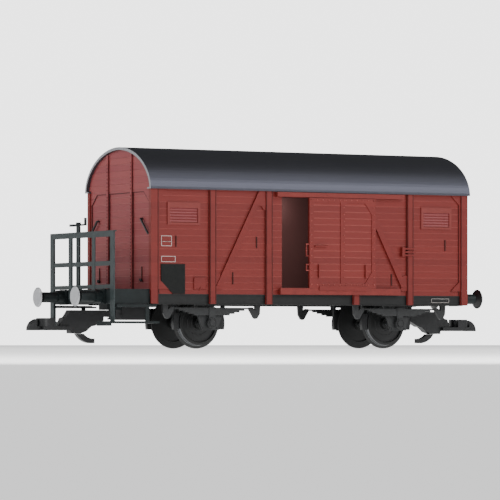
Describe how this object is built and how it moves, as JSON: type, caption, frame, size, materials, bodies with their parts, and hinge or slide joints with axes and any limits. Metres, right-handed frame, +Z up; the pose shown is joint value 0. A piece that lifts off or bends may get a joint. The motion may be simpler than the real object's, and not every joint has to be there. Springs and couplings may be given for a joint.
{
  "type": "model railway covered goods wagon",
  "caption": "Garden-railway model of a planked covered goods wagon with an arched roof, sliding doors and a railed brakeman's platform, on turning flanged wheels.",
  "frame": {"origin": "middle of the wagon's box in plan, at the lowest point of the wheel flanges", "axes": "+X along the wagon away from the platform end, +Y to the right side as seen facing the platform end from the body, +Z up"},
  "size_m": [0.4478, 0.129, 0.1723],
  "materials": {
    "planks": "satin red-brown, planked",
    "roof_grey": "soft dark grey",
    "frame_black": "satin near black",
    "platform_grey": "satin dark green-grey",
    "board_black": "flat black",
    "wheel_steel": "turned, bright tread",
    "axle_steel": "bright",
    "buffer_faces": "light grey"
  },
  "bodies": {
    "wagon_body": {"floor": "frame_black", "left_solebar": "frame_black", "right_solebar": "frame_black", "front_headstock": "platform_grey", "rear_headstock": "frame_black", "left_wall_front": "planks", "left_wall_rear": "planks", "right_wall_front": "planks", "right_wall_rear": "planks", "front_wall": "planks", "rear_wall": "planks", "roof": "roof_grey", "left_door_rails": "planks", "right_door_rails": "planks", "vents": "planks", "chalk_boards": "board_black", "front_axle_guards": "frame_black", "rear_axle_guards": "frame_black", "front_springs": "frame_black", "rear_springs": "frame_black", "front_axle_boxes": "frame_black", "rear_axle_boxes": "frame_black", "brake_shoes": "frame_black", "buffer_barrels": "frame_black", "buffer_heads": "buffer_faces", "platform_deck": "platform_grey", "platform_sills": "frame_black", "platform_railing": "platform_grey", "platform_steps": "platform_grey", "brake_column": "platform_grey", "brake_crank": "platform_grey"},
    "front_wheelset": {"front_axle": "axle_steel", "front_wheels": "wheel_steel"},
    "rear_wheelset": {"rear_axle": "axle_steel", "rear_wheels": "wheel_steel"},
    "left_door": {"left_door": "planks"},
    "right_door": {"right_door": "planks"},
    "front_coupler": {"front_coupler_tongue": "platform_grey", "front_coupler_loop": "platform_grey", "front_coupler_hook": "platform_grey"},
    "rear_coupler": {"rear_coupler_tongue": "platform_grey", "rear_coupler_loop": "platform_grey", "rear_coupler_hook": "platform_grey"}
  },
  "joints": [
    {"name": "front_axle_roll", "type": "hinge", "parent": "wagon_body", "child": "front_wheelset", "pos_m": [-0.0735, 0, 0.022], "axis": [0, 1, 0], "continuous": true},
    {"name": "rear_axle_roll", "type": "hinge", "parent": "wagon_body", "child": "rear_wheelset", "pos_m": [0.1145, 0, 0.022], "axis": [0, 1, 0], "continuous": true},
    {"name": "left_door_slide", "type": "slide", "parent": "wagon_body", "child": "left_door", "axis": [1, 0, 0], "range_m": [-0.028, 0.0275]},
    {"name": "right_door_slide", "type": "slide", "parent": "wagon_body", "child": "right_door", "axis": [-1, 0, 0], "range_m": [0, 0.0555]},
    {"name": "front_coupler_swing", "type": "hinge", "parent": "wagon_body", "child": "front_coupler", "pos_m": [-0.1456, 0, 0.03], "axis": [0, 0, 1], "range_deg": [-8, 8]},
    {"name": "rear_coupler_swing", "type": "hinge", "parent": "wagon_body", "child": "rear_coupler", "pos_m": [0.1456, 0, 0.03], "axis": [0, 0, 1], "range_deg": [-8, 8]}
  ]
}
